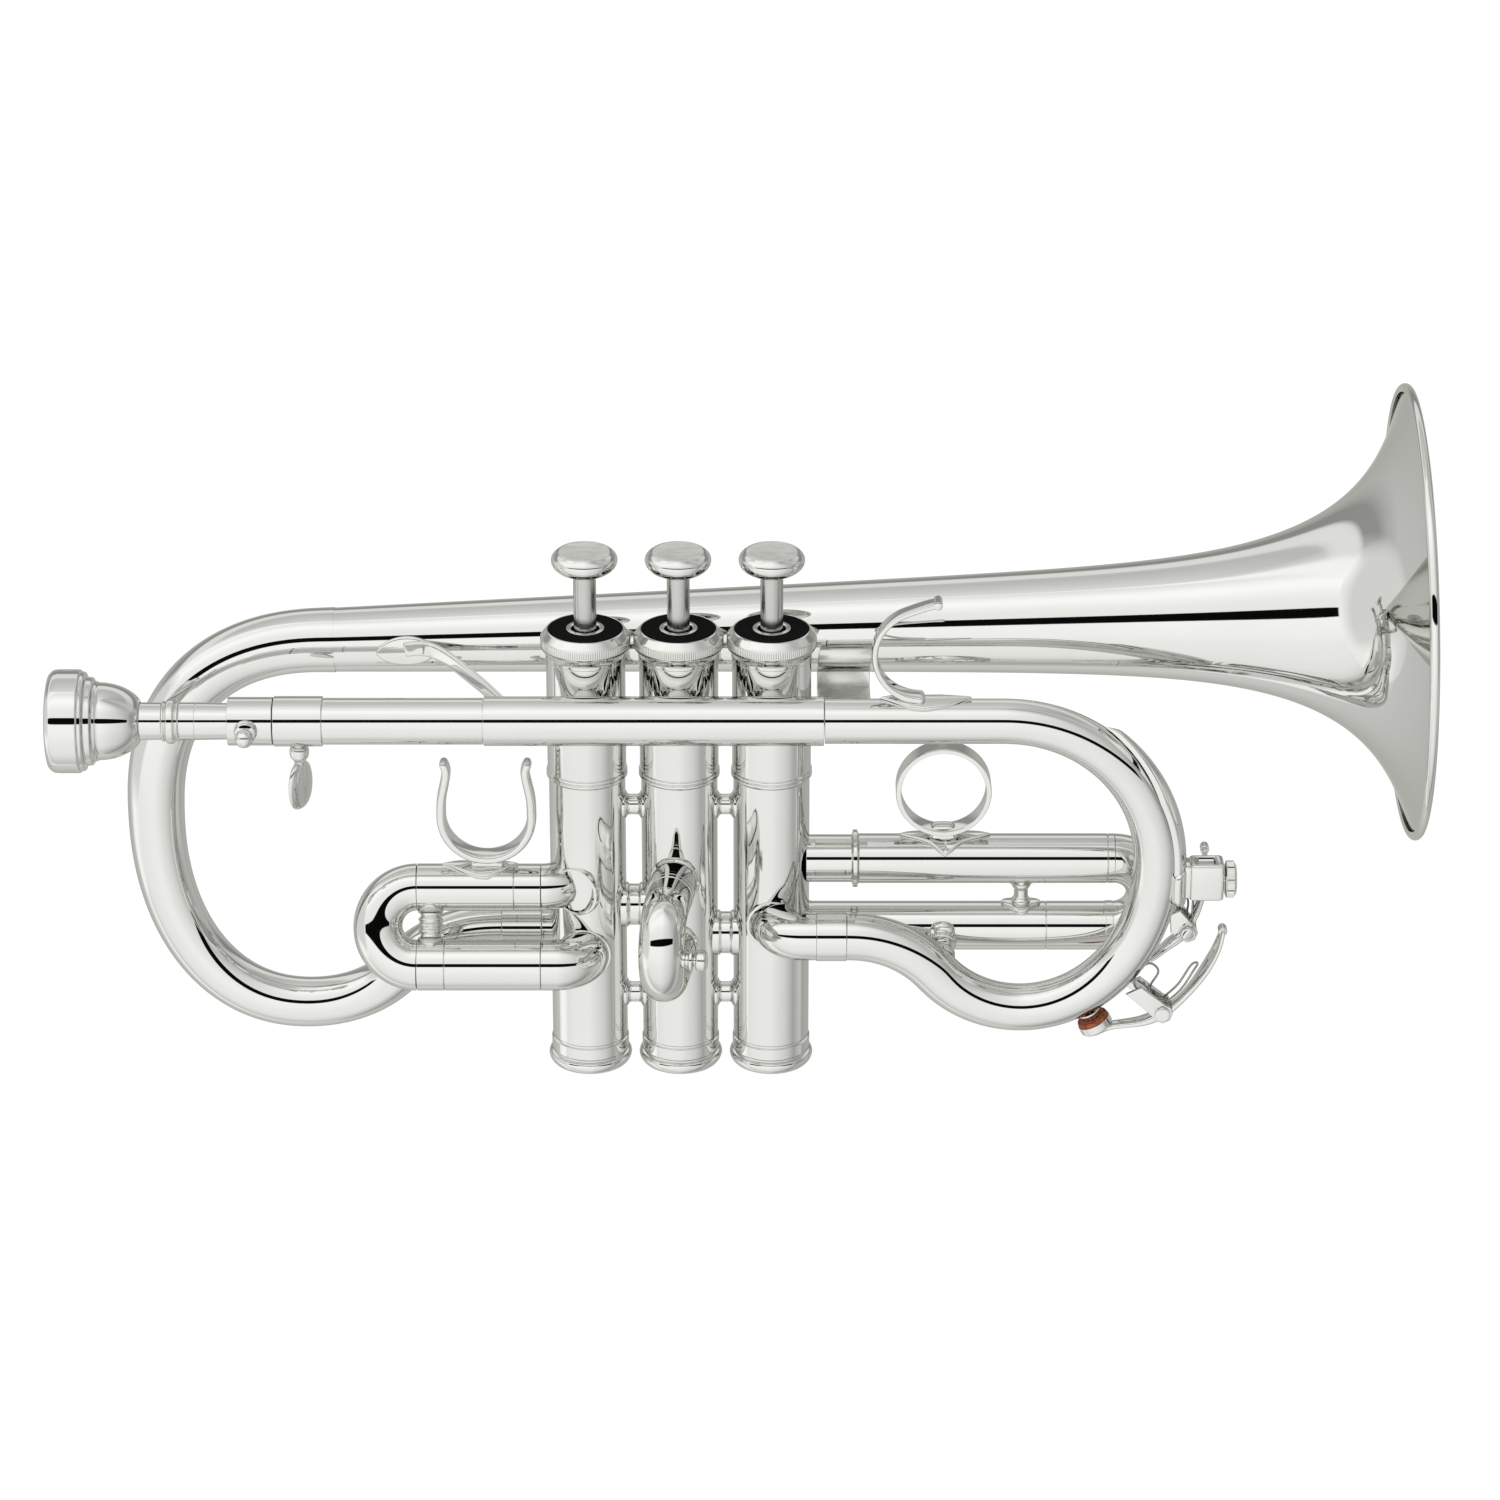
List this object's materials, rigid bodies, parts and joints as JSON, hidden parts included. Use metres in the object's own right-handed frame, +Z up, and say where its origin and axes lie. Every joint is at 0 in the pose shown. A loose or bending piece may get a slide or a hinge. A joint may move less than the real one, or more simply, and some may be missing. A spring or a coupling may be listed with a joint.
{
  "type": "cornet",
  "caption": "Silver-plated valved cornet: flared bell, looped tubing, sprung piston valves, pull-out tuning slides, water keys, finger ring, thumb saddle and lyre holder.",
  "frame": {"origin": "centre of the outer face of the second valve's bottom cap", "axes": "+X from the mouthpiece to the bell, +Z up along the valves to the finger buttons, -Y to the player's right, the side that carries the leadpipe"},
  "size_m": [0.3626, 0.1257, 0.1833],
  "materials": {
    "silver_plate": "mirror-polished silver plate",
    "piston_metal": "lapped nickel alloy",
    "spring_wire": "drawn spring wire",
    "button_pearl": "polished pearl inlay",
    "black_felt": "dense pressed felt",
    "guide_plastic": "moulded nylon",
    "cork": "natural cork"
  },
  "bodies": {
    "horn": {"bell": "silver_plate", "bell_crook": "silver_plate", "crook_ferrules": "silver_plate", "port_knuckles": "silver_plate", "bell_braces": "silver_plate", "mouthpipe": "silver_plate", "lock_ring": "silver_plate", "leadpipe_sleeve": "silver_plate", "front_crook": "silver_plate", "crook_guard": "silver_plate", "pinky_hook": "silver_plate", "casing_1": "silver_plate", "casing_2": "silver_plate", "casing_3": "silver_plate", "valve_tubes": "silver_plate", "braces": "silver_plate", "top_caps": "silver_plate", "cap_felts": "black_felt", "bottom_caps": "silver_plate", "valve_guides": "guide_plastic", "valve_spring_1": "spring_wire", "valve_spring_2": "spring_wire", "valve_spring_3": "spring_wire", "slide1_outer": "silver_plate", "slide2_outer": "silver_plate", "slide3_outer": "silver_plate", "finger_ring": "silver_plate", "key1_saddle": "silver_plate", "key1_spring": "spring_wire", "lyre_box": "silver_plate"},
    "mouthpiece": {"mouthpiece": "silver_plate"},
    "tuning_shank": {"tuning_shank": "silver_plate", "shank_knob": "silver_plate"},
    "thumb_screw": {"thumb_screw": "silver_plate"},
    "lyre_screw": {"lyre_screw": "silver_plate"},
    "valve_1": {"piston_1": "piston_metal", "stem_1": "silver_plate", "pearl_1": "button_pearl"},
    "valve_2": {"piston_2": "piston_metal", "stem_2": "silver_plate", "pearl_2": "button_pearl"},
    "valve_3": {"piston_3": "piston_metal", "stem_3": "silver_plate", "pearl_3": "button_pearl"},
    "slide_1": {"slide1_legs": "silver_plate", "slide1_bow": "silver_plate", "slide1_brace": "silver_plate", "thumb_saddle": "silver_plate"},
    "slide_2": {"slide2_legs": "silver_plate", "slide2_bow": "silver_plate", "slide2_knob": "silver_plate"},
    "slide_3": {"slide3_legs": "silver_plate", "slide3_bow": "silver_plate", "key2_saddle": "silver_plate", "key2_spring": "spring_wire"},
    "water_key_1": {"key1_lever": "silver_plate", "key1_cork": "cork"},
    "water_key_2": {"key2_lever": "silver_plate", "key2_cork": "cork"}
  },
  "joints": [
    {"name": "valve_1_press", "type": "slide", "parent": "horn", "child": "valve_1", "axis": [0, 0, -1], "range_m": [0, 0.0145], "stiffness_N_per_m": 120, "springref_m": -0.02, "deforming": ["valve_spring_1"]},
    {"name": "valve_2_press", "type": "slide", "parent": "horn", "child": "valve_2", "axis": [0, 0, -1], "range_m": [0, 0.0145], "stiffness_N_per_m": 120, "springref_m": -0.02, "deforming": ["valve_spring_2"]},
    {"name": "valve_3_press", "type": "slide", "parent": "horn", "child": "valve_3", "axis": [0, 0, -1], "range_m": [0, 0.0145], "stiffness_N_per_m": 120, "springref_m": -0.02, "deforming": ["valve_spring_3"]},
    {"name": "slide_1_pull", "type": "slide", "parent": "horn", "child": "slide_1", "axis": [-1, 0, 0], "range_m": [0, 0.015]},
    {"name": "slide_2_pull", "type": "slide", "parent": "horn", "child": "slide_2", "axis": [-0.1219, -0.9925, 0], "range_m": [0, 0.006]},
    {"name": "slide_3_pull", "type": "slide", "parent": "horn", "child": "slide_3", "axis": [1, 0, 0], "range_m": [0, 0.028]},
    {"name": "tuning_pull", "type": "slide", "parent": "horn", "child": "tuning_shank", "axis": [-1, 0, 0], "range_m": [0, 0.02]},
    {"name": "mouthpiece_pull", "type": "slide", "parent": "tuning_shank", "child": "mouthpiece", "axis": [-1, 0, 0], "range_m": [0, 0.03]},
    {"name": "thumb_screw_turn", "type": "hinge", "parent": "horn", "child": "thumb_screw", "pos_m": [-0.0992, -0.0172, 0.09], "axis": [0, 0, 1], "range_deg": [-180, 180]},
    {"name": "lyre_screw_turn", "type": "hinge", "parent": "horn", "child": "lyre_screw", "pos_m": [0.144, -0.0172, 0.0624], "axis": [1, 0, 0], "range_deg": [-180, 180]},
    {"name": "water_key_1_lift", "type": "hinge", "parent": "horn", "child": "water_key_1", "pos_m": [0.12891, -0.0172, 0.02413], "axis": [0, -1, 0], "range_deg": [0, 14], "stiffness_Nm_per_rad": 0.04, "springref_deg": -34.38},
    {"name": "water_key_2_lift", "type": "hinge", "parent": "slide_3", "child": "water_key_2", "pos_m": [0.13637, 0, 0.03964], "axis": [0, -1, 0], "range_deg": [0, 12], "stiffness_Nm_per_rad": 0.04, "springref_deg": -34.38}
  ]
}
